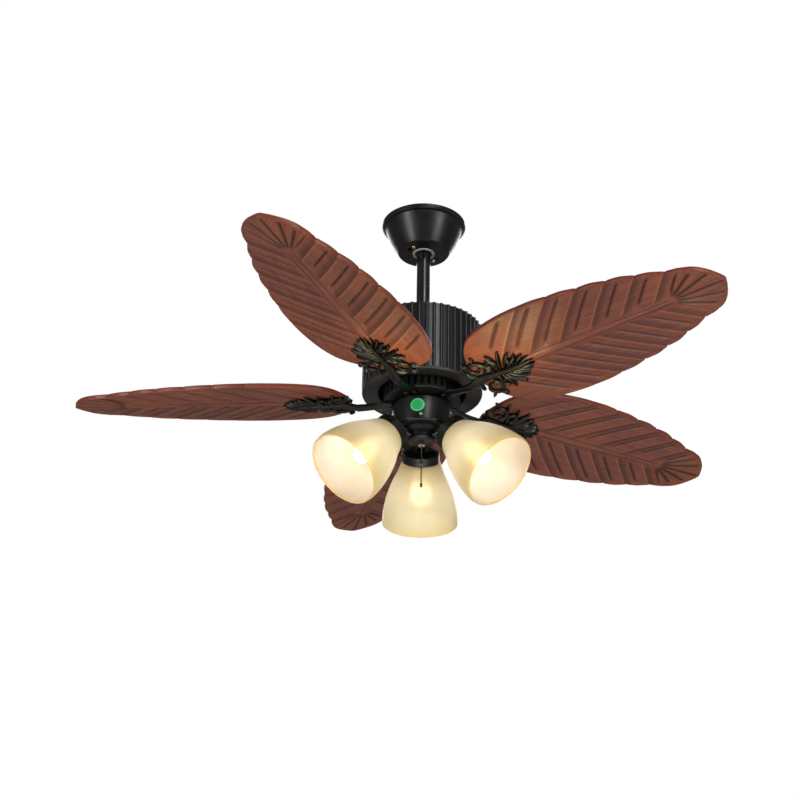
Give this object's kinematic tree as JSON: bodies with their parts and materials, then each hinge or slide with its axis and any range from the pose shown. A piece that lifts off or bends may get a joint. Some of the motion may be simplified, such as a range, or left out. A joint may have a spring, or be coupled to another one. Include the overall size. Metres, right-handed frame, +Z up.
{
  "type": "ceiling fan with light",
  "caption": "Ceiling fan on a downrod with carved leaf blades on ornate irons, a fluted motor housing, tilted frosted glass shades and a pull chain.",
  "frame": {"origin": "centre of the hanger bracket's top face, on the ceiling plane", "axes": "+Z up out of the ceiling face along the fan's axis; the fan hangs towards -Z; the pull chain is on the -Y side"},
  "size_m": [1.2267, 1.2518, 0.6155],
  "materials": {
    "plated_steel": "zinc plated",
    "black_metal": "satin black powder coat",
    "pale_plastic": "moulded",
    "brass_plate": "plated",
    "machined_steel": "ground",
    "laminated_steel": "varnished laminations",
    "copper_winding": "enamelled copper wire",
    "cast_bell": "black paint on cast metal",
    "bronze_iron": "black bronze, rubbed relief",
    "carved_wood": "red brown stain, satin lacquer",
    "blade_screw": "dark zinc",
    "dark_plastic": "moulded",
    "green_label": "printed film",
    "porcelain": "glazed",
    "frosted_glass": "frosted, amber tinted",
    "bulb_glass": "clear",
    "bead_chain": "antique brass"
  },
  "bodies": {
    "ceiling_mount": {"hanger_bracket": "plated_steel", "canopy": "black_metal", "canopy_grommet": "pale_plastic", "canopy_screws": "brass_plate"},
    "seat": {"ball_seat": "pale_plastic"},
    "rotor": {"rotor_upper_bell": "cast_bell", "rotor_lower_bell": "cast_bell", "rotor_core": "laminated_steel", "bearings": "machined_steel", "bell_screws": "plated_steel", "iron_screws": "black_metal", "blade_screws": "blade_screw", "blade_iron_1": "bronze_iron", "blade_iron_2": "bronze_iron", "blade_iron_3": "bronze_iron", "blade_iron_4": "bronze_iron", "blade_iron_5": "bronze_iron", "blade_1": "carved_wood", "blade_2": "carved_wood", "blade_3": "carved_wood", "blade_4": "carved_wood", "blade_5": "carved_wood"},
    "chain": {"pull_chain": "bead_chain", "chain_end": "bead_chain"},
    "hanging_frame": {"ball_pin": "plated_steel", "bottom_pan": "black_metal", "bulb_1": "bulb_glass", "bulb_2": "bulb_glass", "bulb_3": "bulb_glass", "bulb_caps": "brass_plate", "bulb_sockets": "porcelain", "capacitor": "dark_plastic", "chain_grommet": "brass_plate", "clevis_pin": "plated_steel", "cotter_pin": "plated_steel", "coupling": "black_metal", "coupling_cover": "black_metal", "coupling_set_screws": "plated_steel", "cup_plate": "plated_steel", "cup_screws": "black_metal", "downrod": "black_metal", "hanger_ball": "pale_plastic", "hub_nipple": "brass_plate", "kit_plate": "black_metal", "light_arms": "black_metal", "light_hub": "black_metal", "motor_housing": "black_metal", "motor_shaft": "machined_steel", "pull_switch": "dark_plastic", "round_label": "green_label", "shade_1": "frosted_glass", "shade_2": "frosted_glass", "shade_3": "frosted_glass", "shade_fitter_1": "black_metal", "shade_fitter_2": "black_metal", "shade_fitter_3": "black_metal", "shade_screws": "brass_plate", "stator_coils": "copper_winding", "stator_core": "laminated_steel", "switch_cup": "black_metal"}
  },
  "joints": [
    {"name": "swing_about_x", "type": "hinge", "parent": "ceiling_mount", "child": "seat", "pos_m": [0, 0, -0.034], "axis": [1, 0, 0], "range_deg": [-3, 3]},
    {"name": "swing_about_y", "type": "hinge", "parent": "seat", "child": "hanging_frame", "pos_m": [0, 0, -0.034], "axis": [0, 1, 0], "range_deg": [-3, 3]},
    {"name": "blade_spin", "type": "hinge", "parent": "hanging_frame", "child": "rotor", "pos_m": [0, 0, -0.31], "axis": [0, 0, 1], "continuous": true},
    {"name": "chain_pull", "type": "slide", "parent": "hanging_frame", "child": "chain", "axis": [0, 0, -1], "range_m": [0, 0.008], "stiffness_N_per_m": 300, "springref_m": -0.002}
  ]
}
